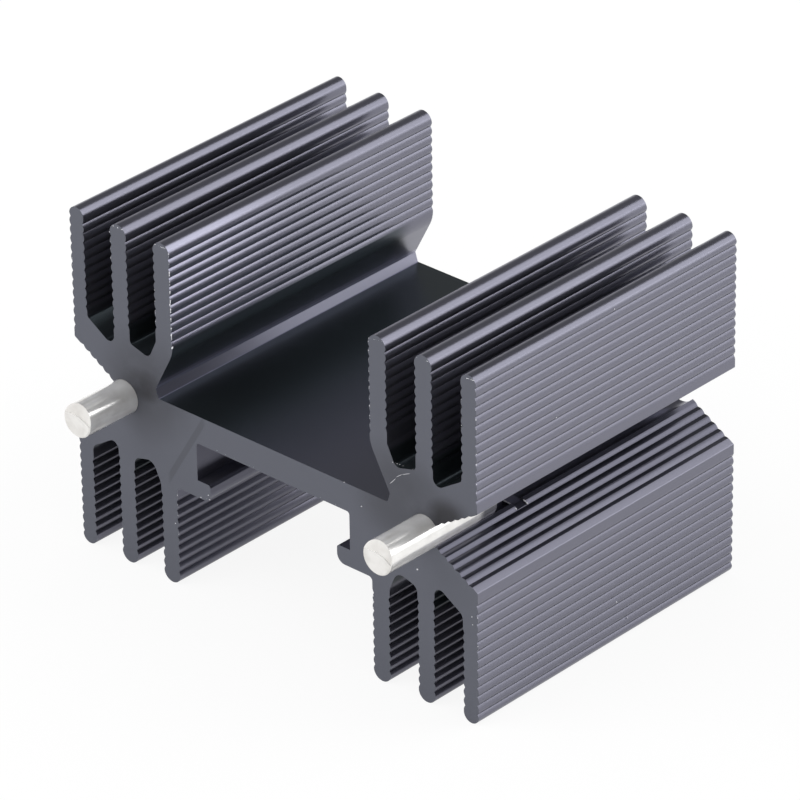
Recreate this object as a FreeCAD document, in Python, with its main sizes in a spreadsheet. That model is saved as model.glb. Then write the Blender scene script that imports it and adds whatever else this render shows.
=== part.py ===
import FreeCAD, Part
import math
import os
import Sketcher

# Extruded heat sink for a board: a web joins two groups of six ribbed fins, and two round
# solder pins are pushed into the open grooves at the sides and staked there.
# Frame: +X across the fins, +Y along the extrusion away from the pins' free ends, +Z up.
# The sink lies on the tips of its lower fins, and the origin is on that plane, below the
# middle of the sink and its pins.
# Heights in the section are measured from the level of the pins, half way up.

# Driving dimensions in millimetres
SIZES = {
    "sink_width": 35.0,
    "sink_height": 25.0,
    "sink_length": 24.8,
    # Fins, over the tops of their ribs
    "outer_fin": 1.27,
    "middle_fin": 1.44,
    "inner_fin": 1.48,
    "fin_gap": 2.38,
    # Web and the undercut where the device bay meets the fins' arms
    "web_top": 0.95,
    "web_thickness": 2.03,
    "undercut_rise": 0.67,
    "undercut_inset": 0.22,
    "arm_lean": 1.65,
    "bay_wall_foot": 4.73,
    "bend_radius": 2.4,
    # Floors of the gaps between the fins, upper and lower
    "flank_width": 0.69,
    "upper_flank_foot": 5.12,
    "upper_inner_floor": 3.68,
    "upper_inner_step": 0.46,
    "upper_outer_floor": 3.23,
    "upper_outer_step": 1.52,
    "lower_flank_foot": 5.35,
    "lower_inner_floor": 3.88,
    "lower_inner_step": 0.44,
    "lower_outer_floor": 3.38,
    "lower_outer_step": 1.49,
    "floor_radius": 0.5,
    "lower_inner_radius": 0.7,
    "corner_radius": 0.3,
    "lower_corner_radius": 0.6,
    "lower_flank_radius": 1.2,
    # Clip channel under the web, with a hook on each side
    "channel_half": 6.68,
    "hook_gap_half": 5.55,
    "hook_top": 3.85,
    "hook_thickness": 1.27,
    "hook_radius": 0.65,
    "channel_radius": 0.22,
    # Side notches and the grooves that hold the pins
    "upper_notch_edge": 2.87,
    "lower_notch_edge": 2.8,
    "groove_mouth": 1.48,
    "edge_radius": 0.12,
    # Fine ribs along the walls
    "rib_pitch": 0.662,
    "rib_depth": 0.12,
    "rib_radius": 0.8,
    "rib_land": 0.1,
    "first_rib": 0.99,
    "first_back_rib": 1.1,
    "first_outer_rib": 0.8,
    "rib_foot_margin": 0.67,
    "rib_notch_margin": 0.42,
    "slope_lead": 0.57,
    # Solder pins
    "pin_pitch": 26.16,
    "pin_diameter": 2.36,
    "pin_clearance": 0.02,
    "pin_reach": 4.4,
    "pin_seat": 5.65,
    "pin_chamfer": 0.2,
    "pin_edge": 0.08,
    # Facet that the cutter left on the pin's free end, conical and deepest at the rim
    "facet_radius": 2.27,
    "facet_width": 0.73,
    "facet_across": 0.32,
    "facet_step": 0.06,
    "facet_fall": 0.39,
    # Staking behind each pin: the groove's lip is struck down, which drives a tongue inwards
    "stake_setback": 1.5,
    "stake_length": 0.95,
    "strike_across": 0.05,
    "strike_drop": 0.2,
    "strike_run": 0.5,
    "strike_fall": 0.22,
    "strike_clearance": 0.22,
    "tongue_reach": 0.85,
    "tongue_drop": 0.15,
    "tongue_root": 0.5,
}

# Places that follow from the driving dimensions
WORKED_OUT = {
    "tip": "sink_height / 2",
    "wall_f": "sink_width / 2",
    "wall_e": "wall_f - outer_fin",
    "wall_d": "wall_e - fin_gap",
    "wall_c": "wall_d - middle_fin",
    "wall_b": "wall_c - fin_gap",
    "wall_a": "wall_b - inner_fin",
    "outer_shoulder": "tip - outer_fin / 2",
    "middle_shoulder": "tip - middle_fin / 2",
    "inner_shoulder": "tip - inner_fin / 2",
    "undercut_x": "wall_a + arm_lean",
    "undercut_z": "web_top + undercut_rise",
    "bay_foot_x": "undercut_x - undercut_inset",
    "flank_x": "wall_b + flank_width",
    "upper_inner_corner": "upper_inner_floor + upper_inner_step",
    "upper_outer_corner": "upper_outer_floor + upper_outer_step",
    "lower_inner_corner": "lower_inner_floor + lower_inner_step",
    "lower_outer_corner": "lower_outer_floor + lower_outer_step",
    "web_bottom": "web_thickness - web_top",
    "hook_bottom": "hook_top + hook_thickness",
    "pin_x": "pin_pitch / 2",
    "pin_radius": "pin_diameter / 2",
    "groove_radius": "pin_radius + pin_clearance",
    "mouth_z": "groove_mouth / 2",
    "mouth_x": "pin_x + sqrt(groove_radius ^ 2 - mouth_z ^ 2)",
    "rib_half": "(rib_pitch - rib_land) / 2",
    "rib_start": "tip - first_rib",
    "back_rib_start": "tip - first_back_rib",
    "outer_rib_start": "tip - first_outer_rib",
    "upper_floor_bend": "upper_outer_floor + floor_radius",
    "lower_floor_bend": "lower_outer_floor + floor_radius",
    "slope_run": "wall_f - mouth_x",
    "upper_slope_length": "sqrt(slope_run ^ 2 + (upper_notch_edge - mouth_z) ^ 2)",
    "lower_slope_length": "sqrt(slope_run ^ 2 + (lower_notch_edge - mouth_z) ^ 2)",
    "upper_slope_x": "mouth_x + slope_lead * slope_run / upper_slope_length",
    "upper_slope_z": "mouth_z + slope_lead * (upper_notch_edge - mouth_z) / upper_slope_length",
    "lower_slope_x": "mouth_x + slope_lead * slope_run / lower_slope_length",
    "lower_slope_z": "mouth_z + slope_lead * (lower_notch_edge - mouth_z) / lower_slope_length",
    "stake_start": "pin_seat + stake_setback",
    "strike_end": "strike_across + strike_run",
    "strike_low": "strike_drop + strike_fall",
    "pin_length": "pin_reach + pin_seat",
    "pin_shoulder": "pin_length - pin_chamfer",
    "pin_nose": "pin_radius - pin_chamfer",
    "pin_face": "pin_radius - pin_edge",
    "facet_down": "facet_radius + facet_width - pin_radius",
    "facet_rim": "facet_radius + pin_radius",
    "facet_low": "facet_step + facet_fall",
    "pin_y": "body_y - pin_reach",
    "body_y": "(pin_reach - sink_length) / 2",
}


def fill_sheet(doc):
    """Writes the driving dimensions and what follows from them, each with its alias."""
    sheet = doc.addObject("Spreadsheet::Sheet", "Sizes")
    for row, (name, number) in enumerate(SIZES.items(), 1):
        sheet.set(f"A{row}", name)
        sheet.set(f"B{row}", str(number))
        sheet.setAlias(f"B{row}", name)
    doc.recompute()
    for row, (name, formula) in enumerate(WORKED_OUT.items(), 1):
        sheet.set(f"D{row}", name)
        sheet.set(f"E{row}", "=" + formula)
        sheet.setAlias(f"E{row}", name)
        doc.recompute()
    return sheet


def opposite(name):
    """The name of a size with its sign changed."""
    return name[1:] if name.startswith("-") else "-" + name


def cell(name):
    """The expression for a named size, which may have a minus sign in front."""
    return "-Sizes." + name[1:] if name.startswith("-") else "Sizes." + name


def amount(sheet, name):
    """The number behind a named size, which may have a minus sign in front."""
    if name == "zero":
        return 0.0
    return -float(sheet.get(name[1:])) if name.startswith("-") else float(sheet.get(name))


def plane_of(body, role):
    return next(feature for feature in body.Origin.OriginFeatures if feature.Role == role)


def new_sketch(body, name, x="zero", z="zero", depth="zero", turn=None, role="XZ_Plane"):
    """A sketch on a plane of the body, moved to a place in the section and turned.

    Unmoved, its axes on the XZ plane are the body's X and Z. Depth is how far behind the
    front face it lies, and turn is an expression in degrees."""
    sketch = body.newObject("Sketcher::SketchObject", name)
    sketch.AttachmentSupport = [(plane_of(body, role), "")]
    sketch.MapMode = "FlatFace"
    if turn:
        sketch.AttachmentOffset = FreeCAD.Placement(
            FreeCAD.Vector(), FreeCAD.Rotation(FreeCAD.Vector(0, 0, 1), 1))
        sketch.setExpression("AttachmentOffset.Rotation.Angle", turn)
    for axis, name in (("x", x), ("y", z), ("z", opposite(depth))):
        if not name.endswith("zero"):
            sketch.setExpression(f"AttachmentOffset.Base.{axis}", cell(name))
    return sketch


def add_size(sketch, name, kind, *places):
    """Adds a dimension to a sketch and binds it to a named size."""
    size = abs(amount(sketch.Document.Sizes, name))
    index = sketch.addConstraint(Sketcher.Constraint(kind, *places, size))
    sketch.setExpression(f"Constraints[{index}]", cell(name.lstrip("-")))


def place_point(sketch, geometry, end, x, y):
    """Ties a point of a sketch to the two named sizes that give its place."""
    for kind, axis, name in (("DistanceX", -2, x), ("DistanceY", -1, y)):
        if name == "zero":
            sketch.addConstraint(Sketcher.Constraint("PointOnObject", geometry, end, axis))
        elif name.startswith("-"):
            add_size(sketch, name, kind, geometry, end, -1, 1)
        else:
            add_size(sketch, name, kind, -1, 1, geometry, end)


def arc_middle(sheet, kind, start, stop):
    """A point half way along an arc of the given kind."""
    middle = (start + stop) / 2
    chord = stop - start
    if kind == "tip":
        outward = -1 if start.y < 0 else 1
        return middle + FreeCAD.Vector(0, outward * chord.Length / 2, 0)
    if kind == "groove":
        return FreeCAD.Vector(amount(sheet, "pin_x") - amount(sheet, "groove_radius"), 0, 0)
    radius = amount(sheet, "rib_radius")
    bulge = radius - math.sqrt(radius ** 2 - (chord.Length / 2) ** 2)
    return middle + FreeCAD.Vector(-chord.y, chord.x, 0).normalize() * bulge


def draw_outline(sketch, corners):
    """Closes a loop of lines and arcs through corners and ties each corner to its sizes.

    Arcs are drawn anticlockwise, whichever way the loop passes them.
    A corner is two named sizes. A third word makes the stretch that starts there an arc: a
    tip is a half circle level with its ends, a groove is round the pin's axis, and a flank is
    the rounded side of a rib."""
    sheet = sketch.Document.Sizes
    points = [FreeCAD.Vector(amount(sheet, c[0]), amount(sheet, c[1]), 0) for c in corners]
    stretches = []
    for index, (x, y, *kind) in enumerate(corners):
        start, stop = points[index], points[(index + 1) % len(points)]
        if not kind:
            stretches.append((sketch.addGeometry(Part.LineSegment(start, stop)), 1, 2))
            continue
        middle = arc_middle(sheet, kind[0], start, stop)
        if (middle - start).cross(stop - middle).z > 0:
            stretches.append((sketch.addGeometry(Part.Arc(start, middle, stop)), 1, 2))
        else:
            stretches.append((sketch.addGeometry(Part.Arc(stop, middle, start)), 2, 1))
    for index, (x, y, *kind) in enumerate(corners):
        geometry, first, _ = stretches[index]
        before, _, last = stretches[index - 1]
        sketch.addConstraint(Sketcher.Constraint("Coincident", before, last, geometry, first))
        place_point(sketch, geometry, first, x, y)
        if kind == ["tip"]:
            sketch.addConstraint(Sketcher.Constraint("Horizontal", geometry, 3, geometry, first))
        elif kind == ["groove"]:
            add_size(sketch, "pin_x", "DistanceX", -1, 1, geometry, 3)
        elif kind == ["flank"]:
            add_size(sketch, "rib_radius", "Radius", geometry)


def pad(body, sketch, length):
    """Extrudes a sketch backwards, along +Y."""
    feature = body.newObject("PartDesign::Pad", sketch.Name + "_pad")
    feature.Profile = sketch
    feature.Reversed = True
    feature.setExpression("Length", cell(length))
    return recompute(feature)


def cut(body, sketch, length):
    """Cuts a sketch backwards, along +Y, to a named length."""
    volume = body.Tip.Shape.Volume
    feature = body.newObject("PartDesign::Pocket", sketch.Name + "_cut")
    feature.Profile = sketch
    feature.setExpression("Length", cell(length))
    recompute(feature)
    if feature.Shape.Volume >= volume - 1e-4:
        raise RuntimeError(sketch.Name + " cuts nothing")
    return feature


def turn_about(body, kind, sketch):
    """Adds or cuts what a sketch sweeps in a full turn about its own vertical axis."""
    feature = body.newObject(kind, sketch.Name + "_turned")
    feature.Profile = sketch
    feature.ReferenceAxis = (sketch, ["V_Axis"])
    return recompute(feature)


def recompute(feature):
    """Works a new feature out and stops at one that failed."""
    feature.Document.recompute()
    if "Invalid" in feature.State or "Error" in feature.State or feature.Shape.isNull():
        raise RuntimeError(feature.Name + " failed")
    return feature


def long_edges(shape, corners):
    """The names of the edges that run along Y through the given places of the section."""
    found = []
    for x, z in corners:
        for number, edge in enumerate(shape.Edges, 1):
            if all(math.hypot(v.X - x, v.Z - z) < 1e-4 for v in edge.Vertexes):
                found.append(f"Edge{number}")
    if len(found) != len(corners):
        raise RuntimeError(f"{len(found)} of {len(corners)} edges found")
    return found


# The right half of the die section, anticlockwise from the middle of the web's underside
SECTION = [
    ("zero", "-web_bottom"),
    ("channel_half", "-web_bottom"),
    ("channel_half", "-hook_top"),
    ("hook_gap_half", "-hook_top"),
    ("hook_gap_half", "-hook_bottom"),
    ("wall_a", "-hook_bottom"),
    ("wall_a", "-inner_shoulder", "tip"),
    ("wall_b", "-inner_shoulder"),
    ("wall_b", "-lower_flank_foot"),
    ("flank_x", "-lower_inner_floor"),
    ("wall_c", "-lower_inner_corner"),
    ("wall_c", "-middle_shoulder", "tip"),
    ("wall_d", "-middle_shoulder"),
    ("wall_d", "-lower_outer_floor"),
    ("wall_e", "-lower_outer_corner"),
    ("wall_e", "-outer_shoulder", "tip"),
    ("wall_f", "-outer_shoulder"),
    ("wall_f", "-lower_notch_edge"),
    ("mouth_x", "-mouth_z", "groove"),
    ("mouth_x", "mouth_z"),
    ("wall_f", "upper_notch_edge"),
    ("wall_f", "outer_shoulder", "tip"),
    ("wall_e", "outer_shoulder"),
    ("wall_e", "upper_outer_corner"),
    ("wall_d", "upper_outer_floor"),
    ("wall_d", "middle_shoulder", "tip"),
    ("wall_c", "middle_shoulder"),
    ("wall_c", "upper_inner_corner"),
    ("flank_x", "upper_inner_floor"),
    ("wall_b", "upper_flank_foot"),
    ("wall_b", "inner_shoulder", "tip"),
    ("wall_a", "inner_shoulder"),
    ("wall_a", "bay_wall_foot"),
    ("undercut_x", "undercut_z"),
    ("bay_foot_x", "web_top"),
    ("zero", "web_top"),
]

# The corners that each radius rounds
ROUNDED = {
    "bend_radius": [("wall_a", "bay_wall_foot")],
    "floor_radius": [("flank_x", "upper_inner_floor"), ("wall_d", "upper_outer_floor"),
                     ("wall_d", "-lower_outer_floor")],
    "lower_inner_radius": [("flank_x", "-lower_inner_floor")],
    "corner_radius": [("wall_c", "upper_inner_corner"), ("wall_e", "upper_outer_corner"),
                      ("wall_b", "upper_flank_foot"), ("wall_a", "-hook_bottom")],
    "lower_corner_radius": [("wall_c", "-lower_inner_corner"), ("wall_e", "-lower_outer_corner")],
    "lower_flank_radius": [("wall_b", "-lower_flank_foot")],
    "hook_radius": [("hook_gap_half", "-hook_bottom")],
    "channel_radius": [("channel_half", "-web_bottom"), ("hook_gap_half", "-hook_top")],
    "edge_radius": [("wall_f", "upper_notch_edge"), ("wall_f", "-lower_notch_edge"),
                    ("undercut_x", "undercut_z")],
}

# Each ribbed wall, the way it faces, where its rows start at the tips and stop at the foot,
# upper and lower, and how far short of that they stay
RIBBED_WALLS = [
    ("wall_a", "left", "rib_start", "bay_wall_foot", "hook_bottom", "rib_foot_margin"),
    ("wall_b", "right", "rib_start", "upper_flank_foot", "lower_flank_foot", "rib_foot_margin"),
    ("wall_c", "left", "back_rib_start", "upper_inner_corner", "lower_inner_corner",
     "rib_foot_margin"),
    ("wall_d", "right", "rib_start", "upper_floor_bend", "lower_floor_bend", "rib_foot_margin"),
    ("wall_e", "left", "back_rib_start", "upper_outer_corner", "lower_outer_corner",
     "rib_foot_margin"),
    ("wall_f", "right", "outer_rib_start", "upper_notch_edge", "lower_notch_edge",
     "rib_notch_margin"),
]

# A groove between two ribs. Its Y axis points out of the metal.
RIB_GROOVE = [
    ("-rib_half", "zero", "flank"),
    ("zero", "-rib_depth", "flank"),
    ("rib_half", "zero"),
    ("rib_half", "rib_depth"),
    ("-rib_half", "rib_depth"),
]


def rib_row(doc, name, x, z, turn, backwards, run):
    """A row of rods that cut the grooves of a wall, so that rounded ribs stay between them.

    The first rod is at x, z. Run is an expression for the length that the row may take."""
    body = doc.addObject("PartDesign::Body", name)
    body.AllowCompound = True
    sketch = new_sketch(body, name + "_groove", x, z, turn=turn)
    draw_outline(sketch, RIB_GROOVE)
    rod = pad(body, sketch, "sink_length")
    row = body.newObject("PartDesign::LinearPattern", name + "_pattern")
    row.Originals = [rod]
    row.Refine = False
    row.Direction = (sketch, ["H_Axis"])
    row.Reversed = backwards
    row.Mode = "Spacing"
    row.setExpression("Offset", "Sizes.rib_pitch")
    row.setExpression("Occurrences", f"floor(({run}) / Sizes.rib_pitch) + 1")
    body.Tip = row
    recompute(row)
    return body


def wall_rib_rows(doc):
    """Rows for every wall of the fins, from just under the tips to just short of the foot."""
    rows = []
    for wall, faces, start, upper_stop, lower_stop, margin in RIBBED_WALLS:
        turn = "-90" if faces == "right" else "90"
        for side, place, stop in (("upper", start, upper_stop),
                                  ("lower", "-" + start, lower_stop)):
            run = f"Sizes.{start} - Sizes.{stop} - Sizes.{margin}"
            backwards = (side == "upper") == (faces == "left")
            rows.append(rib_row(doc, f"{side}_{wall}_ribs", wall, place, turn, backwards, run))
    return rows


def slope_rib_rows(doc):
    """Rows for both slopes of the side notch, from beside the groove's mouth outwards."""
    rows = []
    for side, sign, turn in (("upper", "", "180 deg + {}"), ("lower", "-", "-{}")):
        rise = f"(Sizes.{side}_notch_edge - Sizes.mouth_z)"
        slope = turn.format(f"atan({rise} / Sizes.slope_run)")
        run = f"Sizes.{side}_slope_length - Sizes.slope_lead - Sizes.rib_notch_margin"
        rows.append(rib_row(doc, f"{side}_slope_ribs", f"{side}_slope_x",
                            f"{sign}{side}_slope_z", slope, side == "upper", run))
    return rows


def stake_groove(body):
    """Strikes the lower lip of the groove down behind the pin and adds the tongue it drives in."""
    strike = new_sketch(body, "strike", "mouth_x", "-mouth_z", "stake_start")
    draw_outline(strike, [
        ("-strike_clearance", "strike_clearance"),
        ("-strike_clearance", "-strike_clearance"),
        ("strike_across", "-strike_drop"),
        ("strike_end", "-strike_low"),
        ("strike_end", "strike_clearance"),
    ])
    body.Tip = cut(body, strike, "stake_length")
    tongue = new_sketch(body, "tongue", "mouth_x", "-mouth_z", "stake_start")
    draw_outline(tongue, [
        ("strike_across", "-strike_drop"),
        ("-tongue_reach", "-tongue_drop"),
        ("-tongue_reach", "-tongue_root"),
        ("strike_across", "-tongue_root"),
    ])
    body.Tip = pad(body, tongue, "stake_length")


def plain_sink(doc):
    """The body without its ribs. One half is drawn, rounded and staked, and then mirrored."""
    body = doc.addObject("PartDesign::Body", "plain_sink")
    section = new_sketch(body, "die_section")
    draw_outline(section, SECTION)
    body.Tip = pad(body, section, "sink_length")
    for radius, corners in ROUNDED.items():
        places = [(amount(doc.Sizes, x), amount(doc.Sizes, z)) for x, z in corners]
        base = body.Tip
        fillet = body.newObject("PartDesign::Fillet", "rounded_" + radius)
        fillet.Base = (base, long_edges(base.Shape, places))
        fillet.setExpression("Radius", cell(radius))
        body.Tip = recompute(fillet)
    stake_groove(body)
    mirror = body.newObject("PartDesign::Mirrored", "both_halves")
    mirror.TransformMode = "Whole shape"
    mirror.MirrorPlane = (plane_of(body, "YZ_Plane"), [""])
    body.Tip = recompute(mirror)
    return body


def make_heat_sink(doc):
    """The extruded body, with all its rib grooves cut at once."""
    plain = plain_sink(doc)
    right = doc.addObject("Part::Compound", "right_grooves")
    right.Links = wall_rib_rows(doc) + slope_rib_rows(doc)
    left = doc.addObject("Part::Mirroring", "left_grooves")
    left.Source = right
    left.Normal = FreeCAD.Vector(1, 0, 0)
    grooves = doc.addObject("Part::Compound", "grooves")
    grooves.Links = [right, left]
    sink = doc.addObject("Part::Cut", "heat_sink_body")
    sink.Base = plain
    sink.Tool = grooves
    sink.setExpression("Placement.Base.y", "Sizes.body_y")
    sink.setExpression("Placement.Base.z", "Sizes.tip")
    recompute(sink)
    if sink.Shape.Volume >= plain.Shape.Volume:
        raise RuntimeError("the grooves cut nothing")
    return sink


def make_pin(doc, name, x):
    """A solder pin, with the facet that the cutter left on its free end."""
    body = doc.addObject("PartDesign::Body", name)
    profile = new_sketch(body, name + "_profile", role="XY_Plane")
    draw_outline(profile, [
        ("zero", "zero"),
        ("pin_face", "zero"),
        ("pin_radius", "pin_edge"),
        ("pin_radius", "pin_shoulder"),
        ("pin_nose", "pin_length"),
        ("zero", "pin_length"),
    ])
    body.Tip = turn_about(body, "PartDesign::Revolution", profile)
    facet = new_sketch(body, name + "_facet", "-facet_across", depth="facet_down", role="XY_Plane")
    draw_outline(facet, [
        ("facet_radius", "zero"),
        ("facet_rim", "zero"),
        ("facet_rim", "facet_low"),
        ("facet_radius", "facet_step"),
    ])
    body.Tip = turn_about(body, "PartDesign::Groove", facet)
    body.setExpression("Placement.Base.x", cell(x))
    body.setExpression("Placement.Base.y", "Sizes.pin_y")
    body.setExpression("Placement.Base.z", "Sizes.tip")
    return body


def main():
    doc = FreeCAD.newDocument("HeatSink")
    fill_sheet(doc)
    pieces = [
        make_heat_sink(doc),
        make_pin(doc, "solder_pin_left", "-pin_x"),
        make_pin(doc, "solder_pin_right", "pin_x"),
    ]
    doc.recompute()
    for item in doc.Objects:
        if "Invalid" in item.State or "Error" in item.State:
            raise RuntimeError(item.Name + " failed")
    for piece in pieces:
        shape = piece.Shape
        if shape.isNull() or not shape.isValid() or len(shape.Solids) != 1:
            raise RuntimeError(piece.Label + " is not one valid solid")
    os.makedirs("parts", exist_ok=True)
    for piece in pieces:
        piece.Shape.exportStep(f"parts/{piece.Label}.step")
        box = piece.Shape.optimalBoundingBox()
        print(f"{piece.Label}: {box.XLength:.3f} x {box.YLength:.3f} x {box.ZLength:.3f} mm, "
              f"{piece.Shape.Volume:.2f} mm3, {len(piece.Shape.Faces)} faces")


main()
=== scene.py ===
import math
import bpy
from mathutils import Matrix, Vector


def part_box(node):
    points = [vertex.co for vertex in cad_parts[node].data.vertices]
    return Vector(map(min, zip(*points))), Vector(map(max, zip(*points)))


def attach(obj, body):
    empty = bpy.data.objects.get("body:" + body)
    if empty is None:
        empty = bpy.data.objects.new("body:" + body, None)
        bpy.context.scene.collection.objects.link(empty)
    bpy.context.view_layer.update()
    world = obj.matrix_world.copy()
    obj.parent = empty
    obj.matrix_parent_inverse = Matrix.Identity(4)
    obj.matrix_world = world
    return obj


bl_info = {
    "name": "Ribbed board heat sink",
    "version": (1, 0, 0),
    "blender": (4, 5, 0),
    "location": "View3D > Sidebar > Heat sink",
    "description": "Finishes the packed heat sink and its solder pins, and sets up the studio",
    "category": "Object",
}

import bpy
import numpy as np
from bpy.props import FloatProperty, FloatVectorProperty, PointerProperty, StringProperty
from bpy.types import NodeSocket, Operator, Panel, PropertyGroup
from mathutils import Matrix, Vector

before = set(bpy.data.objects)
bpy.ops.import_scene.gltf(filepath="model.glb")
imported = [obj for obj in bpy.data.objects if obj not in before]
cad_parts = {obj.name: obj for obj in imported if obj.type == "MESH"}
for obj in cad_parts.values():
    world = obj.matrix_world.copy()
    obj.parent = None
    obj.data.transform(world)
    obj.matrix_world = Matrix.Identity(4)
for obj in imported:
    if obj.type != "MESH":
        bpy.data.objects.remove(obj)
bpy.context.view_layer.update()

MM = 0.001
SINK_LOW, SINK_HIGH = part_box("heat_sink_body")
# Places on the sink are measured in millimetres across from its middle, behind its sawn
# front, and up from the pins' level
FRONT_Y = SINK_LOW.y
LEVEL_Z = (SINK_LOW.z + SINK_HIGH.z) / 2


class FinishSettings(PropertyGroup):
    """Colours of the finishes, as sRGB hex, and how rough they are."""

    wall: StringProperty(
        name="Drawn wall", description="Black anodised wall as extruded", default="#72727e")
    # Painted shade: the slopes of the notches are drawn darker than the wall
    painted_notch_shade: StringProperty(
        name="Notch wall", description="Slopes of the notches by the pins", default="#565661")
    # Painted highlight: the undercuts and the front of the left group's inner wall are drawn
    # brighter
    painted_highlight: StringProperty(
        name="Bright band", description="Undercuts beside the web", default="#9090a0")
    # Painted shade in the hollows of the section: the web, the bay's slopes and the gaps' floors
    painted_shade: StringProperty(
        name="Sheltered wall", description="Hollows of the section, which nothing has rubbed",
        default="#434a4f")
    sawn: StringProperty(
        # Darker patches and the scuff on the ends, and painted shadow beside the pins
        name="Sawn end", description="Anodised end as it left the saw", default="#676972")
    dark_patch_and_shadow: StringProperty(
        name="Smudge", description="Oil and saw dust left on the ends", default="#47474b")
    bare: StringProperty(
        name="Bare metal", description="Aluminium where the skin is nicked", default="#e6e6ea")
    tin: StringProperty(
        name="Tin plate", description="Bright tin on the pins", default="#f6f5f3")
    cut_tin: StringProperty(
        name="Cut tin", description="Ends of the pins, where the cutter went through",
        default="#c9c6c2")
    # Painted shade on the pins where they go into the grooves, under the overhanging wall
    painted_shade_tin: StringProperty(
        name="Wiped tin", description="Pins where the staking pressed on them",
        default="#77777b")
    wall_rough: FloatProperty(
        name="Wall roughness", description="Roughness of the drawn wall",
        default=0.28, min=0.0, max=1.0)
    sawn_rough: FloatProperty(
        name="Sawn roughness", description="Roughness of the sawn ends",
        default=0.62, min=0.0, max=1.0)
    bare_rough: FloatProperty(
        name="Bare roughness", description="Roughness of the nicks",
        default=0.45, min=0.0, max=1.0)
    tin_rough: FloatProperty(
        name="Tin roughness", description="Roughness of the tin along the pins",
        default=0.2, min=0.0, max=1.0)
    cut_rough: FloatProperty(
        name="Cut roughness", description="Roughness of the pins' cut ends",
        default=0.4, min=0.0, max=1.0)


class StageSettings(PropertyGroup):
    """The studio."""

    floor_size: FloatProperty(
        name="Floor", description="Side of the floor", default=3.0, unit="LENGTH")
    key_power: FloatProperty(
        name="Key light", description="Power of the lamp in front, at the left",
        default=1.8, min=0.0)
    back_power: FloatProperty(
        name="Back light", description="Power of the large lamp behind, at the right",
        default=1.65, min=0.0)
    low_power: FloatProperty(
        name="Low light", description="Power of the lamp under that one",
        default=0.34, min=0.0)
    paper: StringProperty(
        name="Paper", description="Colour of the paper floor, as sRGB hex", default="#e7e7e7")
    paper_white: FloatProperty(
        name="Paper white", description="Share of plain white in the floor that the camera sees",
        default=0.9, min=0.0, max=1.0)
    paper_mirrored: FloatProperty(
        name="Paper mirrored", description="Share of glow in the floor that reflections show",
        default=0.35, min=0.0, max=1.0)
    floor_glow: FloatProperty(
        name="Floor glow", description="Brightness of the floor's glow in reflections",
        default=1.3, min=0.0)
    sky: FloatProperty(
        name="Room light", description="Strength of the even light of the room",
        default=0.88, min=0.0)
    wall: FloatProperty(
        name="Walls", description="Brightness of the room's walls in reflections",
        default=1.2, min=0.0)
    ceiling: FloatProperty(
        name="Ceiling", description="Brightness of the ceiling in reflections",
        default=0.2, min=0.0)
    wall_foot: FloatProperty(
        name="Wall foot", description="Sine of the height at which the walls start to dim",
        default=-0.1, min=-1.0, max=1.0)
    wall_top: FloatProperty(
        name="Wall top", description="Sine of the height at which the ceiling starts",
        default=0.45, min=0.0, max=1.0)


class CameraSettings(PropertyGroup):
    """The camera, where the photograph's stood."""

    place: FloatVectorProperty(
        name="Place", description="Where the camera stands", subtype="TRANSLATION",
        unit="LENGTH", default=(0.2355, -0.2521, 0.2066))
    azimuth: FloatProperty(
        name="Azimuth", description="Turn of the view to the left of +Y", subtype="ANGLE",
        default=math.radians(42.84))
    fall: FloatProperty(
        name="Fall", description="How steeply the view looks down", subtype="ANGLE",
        default=math.radians(29.34))
    roll: FloatProperty(
        name="Roll", description="Clockwise turn of the camera about its view",
        subtype="ANGLE", default=math.radians(0.91))
    lens: FloatProperty(
        name="Lens", description="Focal length in millimetres", default=276.3)
    sensor: FloatProperty(
        name="Sensor", description="Width of the sensor in millimetres", default=36.0)


def linear(hex_colour):
    """Turns an sRGB hex colour into linear RGBA: below 0.04045 a share of 12.92, and above
    it the power 2.4 of the value moved by 0.055."""
    channels = [int(hex_colour[i:i + 2], 16) / 255 for i in (1, 3, 5)]
    return tuple(c / 12.92 if c <= 0.04045 else ((c + 0.055) / 1.055) ** 2.4
                 for c in channels) + (1.0,)


def new_material(name):
    """An empty node material. Returns it and its tree."""
    material = bpy.data.materials.new(name)
    material.use_nodes = True
    material.node_tree.nodes.clear()
    return material, material.node_tree


def add(tree, kind, links=None, **settings):
    """Adds a node and returns its outputs. Settings are the node's own properties. Links
    are its inputs, each joined to a socket or given a value."""
    node = tree.nodes.new(kind)
    for name, value in settings.items():
        setattr(node, name, value)
    for name, value in (links or {}).items():
        if isinstance(value, NodeSocket):
            tree.links.new(value, node.inputs[name])
        else:
            node.inputs[name].default_value = value
    return node.outputs


def end_share(tree, start, full):
    """How much of a surface's look is that of a cut end: a smooth step of the unit normal's
    part along Y, either way, from 0 at start to 1 at full."""
    normal = add(tree, "ShaderNodeTexCoord")["Normal"]
    along = add(tree, "ShaderNodeSeparateXYZ", {"Vector": normal})["Y"]
    along = add(tree, "ShaderNodeMath", {0: along}, operation="ABSOLUTE")[0]
    return add(tree, "ShaderNodeMapRange", {
        "Value": along, "From Min": start, "From Max": full},
        interpolation_type="SMOOTHSTEP")[0]


def grain(tree, across, along, detail=2.0):
    """Noise on Object coordinates, with patches of a size in millimetres across the die's
    lines and along them."""
    place = add(tree, "ShaderNodeTexCoord")["Object"]
    scale = [1 / (size * MM) for size in (across, along, across)]
    place = add(tree, "ShaderNodeVectorMath", {0: place, 1: scale}, operation="MULTIPLY")[0]
    return add(tree, "ShaderNodeTexNoise", {
        "Vector": place, "Scale": 1.0, "Detail": detail})["Fac"]


def sink_place(tree):
    """The place across, behind the front and up from the pins' level, in metres."""
    place = add(tree, "ShaderNodeTexCoord")["Object"]
    return add(tree, "ShaderNodeVectorMath", {0: place, 1: (0.0, FRONT_Y, LEVEL_Z)},
               operation="SUBTRACT")[0]


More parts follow.
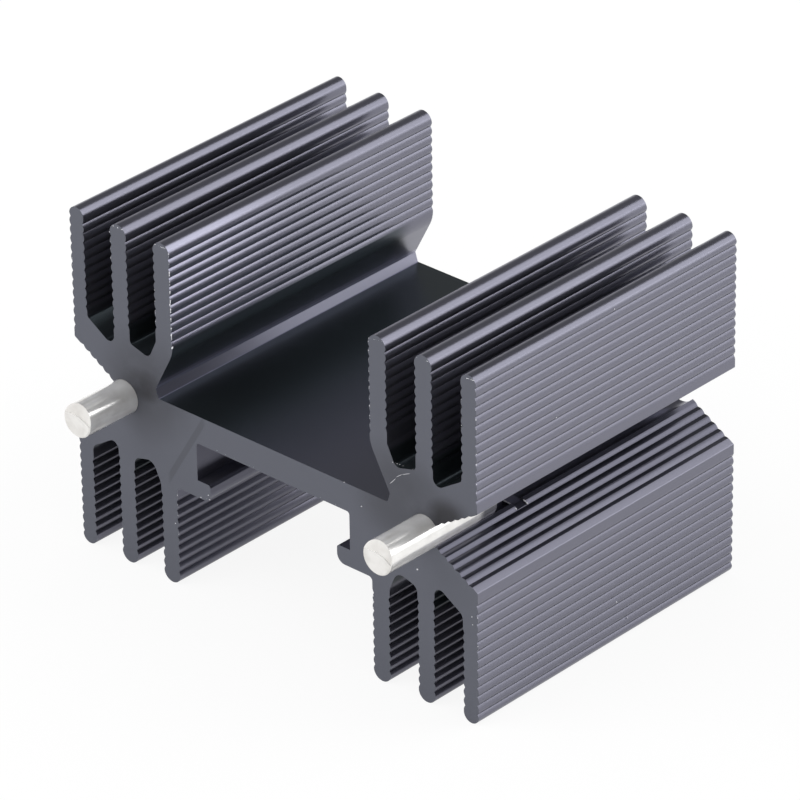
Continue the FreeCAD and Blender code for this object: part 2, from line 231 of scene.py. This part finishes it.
def within(tree, measures, share, limits):
    """The share within all the limits, and 0 outside them. With m the middle of a limit and h
    half its length, it is multiplied by a smooth step of the distance between the measure
    and m, from 0 at h + edge to 1 at h - edge."""
    for name, (start, end, edge) in limits.items():
        middle, half = (start + end) / 2, (end - start) / 2
        off = add(tree, "ShaderNodeMath", {0: measures[name], 1: middle * MM},
                  operation="SUBTRACT")[0]
        off = add(tree, "ShaderNodeMath", {0: off}, operation="ABSOLUTE")[0]
        step = add(tree, "ShaderNodeMapRange", {
            "Value": off, "From Min": (half + edge) * MM, "From Max": (half - edge) * MM},
            interpolation_type="SMOOTHSTEP")[0]
        share = add(tree, "ShaderNodeMath", {0: step, 1: share}, operation="MULTIPLY")[0]
    return share


# Two measures lie aslant. The slopes beside the bay run along a constant sum of the distance
# from the middle and this share of the level, and the scuff under the left pin along a
# constant sum of these shares of the places across, behind and up
SLOPE_LEAN = 0.53
SCUFF_LEAN = (0.852, 0.0, -0.523)
# Parts of the section painted lighter or darker than the plain wall, as painted highlights and
# painted shade, from the bottom layer up: the colour, its share, and the start, the end and the
# soft edge of each measure in millimetres.
# Out is the distance from the middle and apart the distance from the pins' level, either
# way. A limit that starts or ends outside the sink has no effect on that side
PAINTED_LIGHT_AND_SHADE = [
    # Painted highlight on the undercuts beside the web: narrow bands drawn brighter
    ("painted_highlight", 1.0, {"out": (9.875, 10.425, 0.075), "level": (0.8, 1.9, 0.05)}),
    # Painted highlight on the front of the left group's inner wall, fading backwards
    ("painted_highlight", 0.9, {"across": (-8.875, -8.225, 0.075), "level": (5.2, 20.0, 0.2),
                   "behind": (-7.5, 7.5, 5.5)}),
    # Painted shade in the notches by the pins
    ("painted_notch_shade", 1.0, {"out": (14.0, 20.0, 0.1), "level": (-2.475, 2.475, 0.275)}),
    # Painted shade on the web, a little, and beside its left slope in full
    ("painted_shade", 0.3, {"out": (-9.9, 9.9, 0.05), "level": (0.7, 1.2, 0.15)}),
    ("painted_shade", 1.0, {"out": (-9.9, 9.9, 0.05), "level": (0.7, 1.2, 0.15),
                        "across": (-30.0, 0.5, 5.5)}),
    # Painted shade on the slopes at the bay's sides, but for their far ends
    ("painted_shade", 0.85, {"slope": (-11.55, 11.55, 0.15), "level": (2.2, 5.3, 0.15),
                         "behind": (-22.0, 22.0, 1.0)}),
    # Painted shade at the floors of the gaps between the fins
    ("painted_shade", 1.0, {"out": (10.2, 16.2, 0.1), "apart": (2.9, 5.5, 0.3)}),
]
# Round darker patches on the ends, all at one level: the place across, how much a distance
# across counts, the radii in millimetres where they start and are full, and the share. Two are
# wide and faint, over the blocks that hold the pins, and two are dark painted shadow, to the
# right of each pin
END_PATCH_LEVEL = 1.5
END_PATCHES_AND_SHADOWS = [(-11.0, 1.0, 5.0, 1.5, 0.5), (11.0, 1.0, 5.0, 1.5, 0.5),
           (-11.3, 0.65, 2.1, 0.5, 1.0), (15.1, 0.65, 2.1, 0.5, 1.0)]
# A slanting scuff 0.4 mm wide under the left pin
SCUFF = (0.3, {"scuff": (-5.69, -5.25, 0.06), "across": (-9.275, -5.925, 0.175)})


def end_darkening(tree, here, measures):
    """The share of darkening on the ends: the largest of the round patches, two of them painted
    shadow, each a smooth step of the distance from its middle, broken up by clouds, and of the
    scuff."""
    darkening = 0.0
    for across, counted, start, full, share in END_PATCHES_AND_SHADOWS:
        off = add(tree, "ShaderNodeVectorMath", {
            0: here, 1: (across * MM, 0.0, END_PATCH_LEVEL * MM)}, operation="SUBTRACT")[0]
        off = add(tree, "ShaderNodeVectorMath", {0: off, 1: (counted, 0.0, 1.0)},
                  operation="MULTIPLY")[0]
        off = add(tree, "ShaderNodeVectorMath", {0: off}, operation="LENGTH")["Value"]
        step = add(tree, "ShaderNodeMapRange", {
            "Value": off, "From Min": start * MM, "From Max": full * MM, "To Max": share},
            interpolation_type="SMOOTHSTEP")[0]
        darkening = add(tree, "ShaderNodeMath", {0: step, 1: darkening}, operation="MAXIMUM")[0]
    # Clouds a few millimetres across break up the patches and the painted shadow
    clouds = add(tree, "ShaderNodeMapRange", {
        "Value": grain(tree, 3.0, 3.0, 4.0), "From Min": 0.2, "From Max": 0.6,
        "To Min": 0.35}, interpolation_type="SMOOTHSTEP")[0]
    darkening = add(tree, "ShaderNodeMath", {0: darkening, 1: clouds}, operation="MULTIPLY")[0]
    scuff = within(tree, measures, *SCUFF)
    return add(tree, "ShaderNodeMath", {0: darkening, 1: scuff}, operation="MAXIMUM")[0]


def anodised_aluminium(colours):
    """Aluminium alloy, drawn through a die, sawn to length and dyed black in the anodising.

    The dye leaves a dark satin metal that mirrors the room softly: what faces pale paper
    turns grey and what faces its own dark walls turns black. Painted shade darkens the
    notches, the web, the bay's slopes and the gaps' floors, and painted highlights lighten the
    undercuts and the front of the left group's inner wall. The die left fine lines along it,
    and the sawn ends are matt, with darker patches, a scuff and painted shadow beside the pins."""
    material, tree = new_material("Black anodised aluminium")
    here = sink_place(tree)
    measures = dict(zip(("across", "behind", "level"),
                        add(tree, "ShaderNodeSeparateXYZ", {"Vector": here})))
    for name, source in (("out", "across"), ("apart", "level")):
        measures[name] = add(tree, "ShaderNodeMath", {0: measures[source]},
                             operation="ABSOLUTE")[0]
    measures["slope"] = add(tree, "ShaderNodeMath", {
        0: measures["level"], 1: SLOPE_LEAN, 2: measures["out"]},
        operation="MULTIPLY_ADD")[0]
    measures["scuff"] = add(tree, "ShaderNodeVectorMath", {0: here, 1: SCUFF_LEAN},
                            operation="DOT_PRODUCT")["Value"]
    wall = linear(colours.wall)
    for colour, share, limits in PAINTED_LIGHT_AND_SHADE:
        wall = add(tree, "ShaderNodeMix", {
            0: within(tree, measures, share, limits), 6: wall,
            7: linear(getattr(colours, colour))}, data_type="RGBA")[2]
    end = add(tree, "ShaderNodeMix", {
        0: end_darkening(tree, here, measures), 6: linear(colours.sawn),
        7: linear(colours.dark_patch_and_shadow)}, data_type="RGBA")[2]
    is_end = end_share(tree, 0.89, 0.91)
    tone = add(tree, "ShaderNodeMix", {0: is_end, 6: wall, 7: end}, data_type="RGBA")[2]
    # Lines from the die, drawn 0.09 mm apart so that they show, and as long as 12 mm
    lines = grain(tree, 0.09, 12.0)
    satin = add(tree, "ShaderNodeMapRange", {
        "Value": lines, "From Min": 0.2, "From Max": 0.8,
        "To Min": colours.wall_rough - 0.005, "To Max": colours.wall_rough + 0.005},
        interpolation_type="SMOOTHSTEP")[0]
    rough = add(tree, "ShaderNodeMix", {0: is_end, 2: satin, 3: colours.sawn_rough})[0]
    # Grain of the etched skin, a tenth of a millimetre across, with a trace of the lines
    relief = add(tree, "ShaderNodeMath", {0: lines, 1: 0.02, 2: grain(tree, 0.1, 0.1)},
                 operation="MULTIPLY_ADD")[0]
    bump = add(tree, "ShaderNodeBump", {
        "Height": relief, "Strength": 0.06, "Distance": 0.02 * MM})[0]
    shader = add(tree, "ShaderNodeBsdfPrincipled", {
        "Base Color": tone, "Roughness": rough, "Metallic": 0.9, "Normal": bump})[0]
    add(tree, "ShaderNodeOutputMaterial", {"Surface": shader})
    return material


# How far behind the front the painted shade on the pins starts, where the wall above
# overhangs them, and where it is full, in millimetres
PIN_SHADE_FROM, PIN_SHADE_FULL = 3.7, 4.4


def tin_plate(colours):
    """Tin, electroplated bright on drawn wire: a soft mirror, whiter than steel, with the
    wire's drawing marks along it and duller ends where it was cut, and painted shade where
    the pins go into the grooves."""
    material, tree = new_material("Bright tin plate")
    is_end = end_share(tree, 0.3, 0.6)
    # Dull patches of tin that the solder's flux has touched, about 1.5 mm across
    patches = add(tree, "ShaderNodeMapRange", {
        "Value": grain(tree, 1.5, 1.5, 3.0), "From Min": 0.35, "From Max": 0.7},
        interpolation_type="SMOOTHSTEP")[0]
    dull = add(tree, "ShaderNodeMath", {0: is_end, 1: 0.5}, operation="MULTIPLY")[0]
    dull = add(tree, "ShaderNodeMath", {0: patches, 1: 0.4, 2: dull},
               operation="MULTIPLY_ADD")[0]
    tone = add(tree, "ShaderNodeMix", {
        0: dull, 6: linear(colours.tin), 7: linear(colours.cut_tin)}, data_type="RGBA")[2]
    # In the groove the tin is darkened by painted shade, where the wall above overhangs it
    behind = add(tree, "ShaderNodeSeparateXYZ", {"Vector": sink_place(tree)})["Y"]
    pin_shade = add(tree, "ShaderNodeMapRange", {
        "Value": behind, "From Min": PIN_SHADE_FROM * MM, "From Max": PIN_SHADE_FULL * MM},
        interpolation_type="SMOOTHSTEP")[0]
    tone = add(tree, "ShaderNodeMix", {
        0: pin_shade, 6: tone, 7: linear(colours.painted_shade_tin)}, data_type="RGBA")[2]
    # Drawing marks, 0.35 mm across so that they show, and several millimetres long
    marks = grain(tree, 0.35, 6.0)
    mirror = add(tree, "ShaderNodeMapRange", {
        "Value": marks, "From Min": 0.3, "From Max": 0.7,
        "To Min": colours.tin_rough - 0.06, "To Max": colours.tin_rough + 0.06},
        interpolation_type="SMOOTHSTEP")[0]
    rough = add(tree, "ShaderNodeMix", {0: is_end, 2: mirror, 3: colours.cut_rough})[0]
    is_side = add(tree, "ShaderNodeMath", {0: 1.0, 1: is_end}, operation="SUBTRACT")[0]
    drawn = add(tree, "ShaderNodeMath", {0: marks, 1: is_side}, operation="MULTIPLY")[0]
    bump = add(tree, "ShaderNodeBump", {
        "Height": drawn, "Strength": 0.08, "Distance": 0.02 * MM})[0]
    shader = add(tree, "ShaderNodeBsdfPrincipled", {
        "Base Color": tone, "Roughness": rough, "Metallic": 0.6, "Normal": bump})[0]
    add(tree, "ShaderNodeOutputMaterial", {"Surface": shader})
    return material


def bare_aluminium(colours):
    """Aluminium laid bare by a nick: bright, and rough from tearing."""
    material, tree = new_material("Bare torn aluminium")
    shader = add(tree, "ShaderNodeBsdfPrincipled", {
        "Base Color": linear(colours.bare), "Roughness": colours.bare_rough,
        "Metallic": 0.6})[0]
    add(tree, "ShaderNodeOutputMaterial", {"Surface": shader})
    return material


def dress(node, material):
    """Puts a material in every slot of a node of the frame."""
    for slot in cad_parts[node].material_slots:
        slot.material = material


class FinishSink(Operator):
    """Finishes the extruded body"""

    bl_idname = "heatsink.finish_sink"
    bl_label = "Finish the sink"

    def execute(self, context):
        dress("heat_sink_body", anodised_aluminium(context.scene.sink_finish))
        return {"FINISHED"}


class FinishPins(Operator):
    """Finishes the two solder pins"""

    bl_idname = "heatsink.finish_pins"
    bl_label = "Finish the pins"

    def execute(self, context):
        tin = tin_plate(context.scene.sink_finish)
        dress("solder_pin_left", tin)
        dress("solder_pin_right", tin)
        return {"FINISHED"}


def section_points(places, y):
    """Points in metres from places across and up from the pins' level, in millimetres."""
    return np.column_stack([places[:, 0] * MM, np.full(len(places), y),
                            places[:, 1] * MM + LEVEL_Z])


# How many rings of points a pebble has between its poles, and how many points on each
PEBBLE_RINGS, PEBBLE_TURNS = 5, 8


def pebbles(name, centres, long_way, out_way, sizes, material):
    """Closed pebbles that ride on the sink, one at each centre.

    Each is the centre plus cos v cos u times its length along long_way, cos v sin u times
    its width along the cross product of the two ways, and sin v times its height along
    out_way, for u round and v from pole to pole. Sizes are half lengths in metres."""
    rings, turns = PEBBLE_RINGS, PEBBLE_TURNS
    v = np.linspace(-np.pi / 2, np.pi / 2, rings + 2)[1:-1, None]
    u = np.linspace(0, 2 * np.pi, turns, endpoint=False)[None]
    ball = np.stack([np.cos(v) * np.cos(u), np.cos(v) * np.sin(u),
                     np.sin(v) + 0 * u], axis=-1).reshape(-1, 3)
    ball = np.vstack([ball, [[0, 0, -1], [0, 0, 1]]])
    out = out_way / np.linalg.norm(out_way, axis=1, keepdims=True)
    way = long_way - out * np.sum(long_way * out, axis=1, keepdims=True)
    way /= np.linalg.norm(way, axis=1, keepdims=True)
    axes = np.stack([way, np.cross(out, way), out], axis=1) * sizes[:, :, None]
    verts = (centres[:, None] + np.einsum("pk,ckx->cpx", ball, axes)).reshape(-1, 3)
    # Four-sided faces between the rings, and a fan of three-sided ones round each pole
    turn = np.arange(turns)
    after = (turn + 1) % turns
    rows = np.arange(rings - 1)[:, None] * turns
    quads = np.stack([rows + turn, rows + after, rows + turns + after,
                      rows + turns + turn], axis=-1).reshape(-1, 4)
    low_pole, high_pole = np.full(turns, rings * turns), np.full(turns, rings * turns + 1)
    top = (rings - 1) * turns
    low = np.stack([low_pole, after, turn], axis=1)
    high = np.stack([high_pole, top + turn, top + after], axis=1)
    starts = np.arange(len(centres))[:, None, None] * len(ball)
    faces = [face for block in (quads, low, high)
             for face in (block + starts).reshape(-1, block.shape[1]).tolist()]
    mesh = bpy.data.meshes.new(name)
    mesh.from_pydata(verts.tolist(), [], faces)
    mesh.polygons.foreach_set("use_smooth", np.ones(len(faces), bool))
    mesh.materials.append(material)
    piece = bpy.data.objects.new(name, mesh)
    bpy.context.scene.collection.objects.link(piece)
    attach(piece, "root")
    return piece


# Lips of bare metal at both ends of the staking: distance behind the front, then places
# across and up from the pins' level
STAKED_LIPS = [
    (7.13, [(13.25, -0.85), (13.6, -0.87), (13.95, -0.89), (14.2, -0.97), (14.42, -1.07)]),
    (8.12, [(14.12, -0.9), (14.3, -0.98), (14.5, -1.1)]),
]
# How far the lips stand off those lines, their half width and half height in millimetres,
# and their half length as a share of each stretch
LIP_OFFSET = (0.0, -0.02, 0.04)
LIP_WIDTH, LIP_HEIGHT = 0.05, 0.06
LIP_LENGTH = 0.62


def staked_lips(material):
    """Lips of metal that the staking pushed up, beside both pins: flat pebbles end to end
    along each line, so that they join, with a centre in the middle of every stretch."""
    centres, ways = [], []
    for side in (-1, 1):
        for behind, line in STAKED_LIPS:
            line = section_points(np.array(line) * (side, 1), FRONT_Y + behind * MM)
            line += np.array(LIP_OFFSET) * MM
            centres.append((line[1:] + line[:-1]) / 2)
            ways.append(line[1:] - line[:-1])
    centres, ways = np.vstack(centres), np.vstack(ways)
    ones = np.ones(len(ways))
    sizes = np.column_stack([np.linalg.norm(ways, axis=1) * LIP_LENGTH,
                             ones * LIP_WIDTH * MM, ones * LIP_HEIGHT * MM])
    outs = np.tile([0.0, -1.0, 0.0], (len(ways), 1))
    return pebbles("staked_lips", centres, ways, outs, sizes, material)


# Front edges that the saw left torn: two ends in millimetres across and up from the pins'
# level, how many nicks, the size of the largest, and how many ribs they gather on
TORN_EDGES = [
    ((-8.58, 12.17), (-8.58, 5.55), 44, 0.07, 10),
    ((-9.85, 12.25), (-8.75, 12.25), 9, 0.06, 0),
    ((-9.98, 9.4), (-9.98, 6.0), 12, 0.04, 0),
    ((-13.85, 12.15), (-13.85, 9.55), 12, 0.045, 4),
    ((-13.7, 12.3), (-12.6, 12.3), 8, 0.05, 0),
    ((-17.4, 11.9), (-17.4, 6.0), 12, 0.03, 0),
    ((8.6, 12.1), (9.9, 12.3), 9, 0.05, 0),
    ((8.6, 12.17), (8.6, 5.55), 22, 0.04, 10),
    ((10.1, 3.95), (12.3, 4.15), 8, 0.035, 0),
    ((16.3, 12.2), (17.4, 12.3), 10, 0.06, 0),
    ((17.47, 12.0), (17.47, 4.1), 18, 0.04, 12),
    ((16.27, 11.4), (16.27, 7.0), 12, 0.03, 0),
    ((12.5, 12.2), (13.8, 12.25), 6, 0.04, 0),
    ((8.6, -6.4), (8.6, -8.2), 9, 0.08, 0),
    ((-8.58, -5.5), (-8.58, -11.0), 14, 0.04, 0),
    ((-5.6, -4.9), (-6.6, -5.05), 6, 0.045, 0),
    ((17.47, -3.2), (17.47, -7.5), 8, 0.035, 0),
    ((6.8, -0.95), (-6.4, -0.95), 10, 0.025, 0),
]
# Single specks and scratches on the sawn front: across, up, half length, half width, turn
FRONT_MARKS = [
    (12.45, -3.0, 0.06, 0.06, 0.0), (17.0, -4.65, 0.04, 0.04, 0.0),
    (17.05, -5.2, 0.04, 0.03, 0.5), (6.3, 0.95, 0.04, 0.04, 0.0),
    (7.75, -0.25, 0.04, 0.035, 0.0), (-5.75, -4.6, 0.05, 0.04, 0.4),
    (-8.85, -7.9, 0.05, 0.04, 0.0), (10.45, 2.6, 0.42, 0.016, 0.85),
    (11.0, 3.2, 0.3, 0.014, 0.65), (11.6, 3.55, 0.4, 0.014, 0.45),
    (-8.6, 6.1, 0.1, 0.05, 1.4), (-8.55, 5.2, 0.12, 0.06, 1.2), (-8.62, 8.3, 0.09, 0.045, 1.6),
]
# Specks on the outer right wall: distance behind the front, up, half length
SIDE_MARKS = [(12.9, 12.0, 0.05), (7.4, 6.6, 0.06), (10.8, 4.1, 0.04), (14.3, -11.1, 0.05),
              (13.2, -9.4, 0.06)]
# Half length, width and height of those specks as shares
SPECK_SHAPE = (1.0, 0.6, 0.6)
# The random ranges of the nicks: where on a rib they lie, their size as a share of the
# largest and the power that makes small ones more common, and their shape
NICK_SEED = 7
ON_RIB = (0.3, 0.7)
NICK_SIZE, NICK_POWER = (0.25, 1.0), 1.5
NICK_LENGTH, NICK_WIDTH, NICK_HEIGHT = (0.8, 1.8), (0.4, 0.8), (0.4, 0.8)


def torn_nicks():
    """Nicks along the torn edges: centres, ways and sizes in metres. Each lies at a random
    share of its edge, or near the middle of a rib, and small ones are the most common."""
    chance = np.random.default_rng(NICK_SEED)
    starts, ends, largest, ribs = (
        np.repeat(np.array([row[i] for row in TORN_EDGES], float),
                  [row[2] for row in TORN_EDGES], axis=0) for i in (0, 1, 3, 4))
    ribs = ribs[:, None]
    count = len(starts)
    share = chance.random((count, 1))
    on_rib = np.floor(share * ribs) + chance.uniform(*ON_RIB, (count, 1))
    share = np.where(ribs > 0, on_rib / np.maximum(ribs, 1), share)
    centres = section_points(starts + (ends - starts) * share, FRONT_Y)
    ways = np.insert(ends - starts, 1, 0.0, axis=1)
    size = largest[:, None] * MM * chance.uniform(*NICK_SIZE, (count, 1)) ** NICK_POWER
    shape = [chance.uniform(*limits, count)
             for limits in (NICK_LENGTH, NICK_WIDTH, NICK_HEIGHT)]
    return centres, ways, size * np.column_stack(shape)


def front_marks():
    """Single marks on the sawn front: centres, ways and sizes in metres. A mark's way is the
    cosine of its turn across and the sine up."""
    marks = np.array(FRONT_MARKS)
    turn = marks[:, 4]
    return (section_points(marks[:, :2], FRONT_Y),
            np.column_stack([np.cos(turn), 0 * turn, np.sin(turn)]),
            marks[:, [2, 3, 3]] * MM)


def side_marks():
    """Specks on the outer right wall: centres, ways and sizes in metres."""
    behind, up, half = np.array(SIDE_MARKS).T * MM
    return (np.column_stack([np.full(len(half), SINK_HIGH.x), FRONT_Y + behind, up + LEVEL_Z]),
            np.tile([0.0, 1.0, 0.0], (len(half), 1)), half[:, None] * SPECK_SHAPE)


class AddNicks(Operator):
    """Adds the nicks, specks and hair scratches that show bare metal"""

    bl_idname = "heatsink.add_nicks"
    bl_label = "Add nicks and specks"

    def execute(self, context):
        bare = bare_aluminium(context.scene.sink_finish)
        groups = [torn_nicks(), front_marks(), side_marks()]
        facing = [(0.0, -1.0, 0.0), (0.0, -1.0, 0.0), (1.0, 0.0, 0.0)]
        centres, ways, sizes = (np.vstack(arrays) for arrays in zip(*groups))
        outs = np.repeat(facing, [len(group[0]) for group in groups], axis=0)
        pebbles("nicks_and_specks", centres, ways, outs, sizes, bare)
        staked_lips(bare)
        return {"FINISHED"}


# The lamps: place, width and height in metres, and the setting that holds the power. All are
# turned towards one point of the sink
LAMP_TARGET = (0.0, 0.0, 0.012)
LAMPS = {
    "key_lamp": ((-0.25, -0.4, 0.4), 0.5, 0.5, "key_power"),
    "back_lamp": ((0.332, 0.447, 0.436), 0.56, 0.56, "back_power"),
    "low_lamp": ((0.506, 0.447, 0.196), 0.45, 0.19, "low_power"),
}
# Where the camera starts to see, in metres
CLIP_START = 0.01


def paper_floor(stage):
    """White paper that shows to the camera as white, is brighter still in reflections, and
    lights the object as a pale floor does."""
    material, tree = new_material("White studio paper")
    path = add(tree, "ShaderNodeLightPath")
    paper = add(tree, "ShaderNodeBsdfDiffuse", {"Color": linear(stage.paper)})[0]
    strength = add(tree, "ShaderNodeMath", {
        0: path["Is Glossy Ray"], 1: stage.floor_glow - 1.0, 2: 1.0},
        operation="MULTIPLY_ADD")[0]
    glow = add(tree, "ShaderNodeEmission", {
        "Color": linear("#ffffff"), "Strength": strength})[0]
    shown = add(tree, "ShaderNodeMath", {
        0: path["Is Glossy Ray"], 1: stage.paper_mirrored}, operation="MULTIPLY")[0]
    shown = add(tree, "ShaderNodeMath", {
        0: path["Is Camera Ray"], 1: stage.paper_white, 2: shown},
        operation="MULTIPLY_ADD")[0]
    mixed = add(tree, "ShaderNodeMixShader", {0: shown, 1: paper, 2: glow})[0]
    add(tree, "ShaderNodeOutputMaterial", {"Surface": mixed})
    return material


def pale_room(stage):
    """A room that lights the object evenly, shows white to the camera, and has pale walls
    with a dim ceiling in reflections. A smooth step joins the two, while the upward part of
    the unit direction goes from wall_foot to wall_top."""
    world = bpy.data.worlds.new("pale_room")
    world.use_nodes = True
    tree = world.node_tree
    tree.nodes.clear()
    path = add(tree, "ShaderNodeLightPath")
    way = add(tree, "ShaderNodeTexCoord")["Generated"]
    up = add(tree, "ShaderNodeSeparateXYZ", {"Vector": way})["Z"]
    walls = add(tree, "ShaderNodeMapRange", {
        "Value": up, "From Min": stage.wall_foot, "From Max": stage.wall_top,
        "To Min": stage.wall, "To Max": stage.ceiling}, interpolation_type="SMOOTHSTEP")[0]
    light = add(tree, "ShaderNodeMapRange", {
        "Value": path["Is Glossy Ray"], "To Min": stage.sky, "To Max": walls})[0]
    strength = add(tree, "ShaderNodeMapRange", {
        "Value": path["Is Camera Ray"], "To Min": light, "To Max": 1.0})[0]
    room = add(tree, "ShaderNodeBackground", {
        "Color": linear("#ffffff"), "Strength": strength})[0]
    add(tree, "ShaderNodeOutputWorld", {"Surface": room})
    return world


class BuildStage(Operator):
    """Builds the floor, the lamps, the room light and the camera"""

    bl_idname = "heatsink.build_stage"
    bl_label = "Build the stage"

    def execute(self, context):
        stage = context.scene.sink_stage
        half = stage.floor_size / 2
        mesh = bpy.data.meshes.new("floor")
        mesh.from_pydata([(-half, -half, 0), (half, -half, 0), (half, half, 0),
                          (-half, half, 0)], [], [(0, 1, 2, 3)])
        mesh.materials.append(paper_floor(stage))
        floor = bpy.data.objects.new("floor", mesh)
        context.scene.collection.objects.link(floor)
        for name, (place, width, height, power) in LAMPS.items():
            self.hang_lamp(context, name, place, width, height, getattr(stage, power))
        context.scene.world = pale_room(stage)
        self.place_camera(context)
        return {"FINISHED"}

    def hang_lamp(self, context, name, place, width, height, power):
        """Hangs an oval lamp at its place, turned towards the sink."""
        lamp = bpy.data.lights.new(name, "AREA")
        lamp.shape = "ELLIPSE"
        lamp.size = width
        lamp.size_y = height
        lamp.energy = power
        holder = bpy.data.objects.new(name, lamp)
        holder.location = place
        way = Vector(LAMP_TARGET) - Vector(place)
        holder.rotation_euler = way.to_track_quat("-Z", "Y").to_euler()
        context.scene.collection.objects.link(holder)

    def place_camera(self, context):
        """Sets the camera up from its place and three turns."""
        settings = context.scene.sink_camera
        camera = bpy.data.cameras.new("camera")
        camera.lens = settings.lens
        camera.sensor_width = settings.sensor
        camera.clip_start = CLIP_START
        holder = bpy.data.objects.new("camera", camera)
        turn = (Matrix.Rotation(settings.azimuth, 3, "Z")
                @ Matrix.Rotation(math.radians(90) - settings.fall, 3, "X")
                @ Matrix.Rotation(-settings.roll, 3, "Z"))
        holder.rotation_euler = turn.to_euler()
        holder.location = settings.place
        context.scene.collection.objects.link(holder)
        context.scene.camera = holder


class SinkPanel(Panel):
    """Lists the heat sink's steps"""

    bl_idname = "VIEW3D_PT_heat_sink"
    bl_label = "Heat sink"
    bl_space_type = "VIEW_3D"
    bl_region_type = "UI"
    bl_category = "Heat sink"

    def draw(self, context):
        for step in STEPS:
            self.layout.operator(step.bl_idname)


STEPS = (FinishSink, FinishPins, AddNicks, BuildStage)
CLASSES = (FinishSettings, StageSettings, CameraSettings) + STEPS + (SinkPanel,)


def register():
    for cls in CLASSES:
        bpy.utils.register_class(cls)
    bpy.types.Scene.sink_finish = PointerProperty(type=FinishSettings)
    bpy.types.Scene.sink_stage = PointerProperty(type=StageSettings)
    bpy.types.Scene.sink_camera = PointerProperty(type=CameraSettings)


def unregister():
    del bpy.types.Scene.sink_camera
    del bpy.types.Scene.sink_stage
    del bpy.types.Scene.sink_finish
    for cls in reversed(CLASSES):
        bpy.utils.unregister_class(cls)


def main():
    register()
    bpy.context.scene.view_settings.view_transform = "Standard"
    bpy.ops.heatsink.finish_sink()
    bpy.ops.heatsink.finish_pins()
    bpy.ops.heatsink.add_nicks()
    bpy.ops.heatsink.build_stage()


if __name__ == "__main__":
    main()
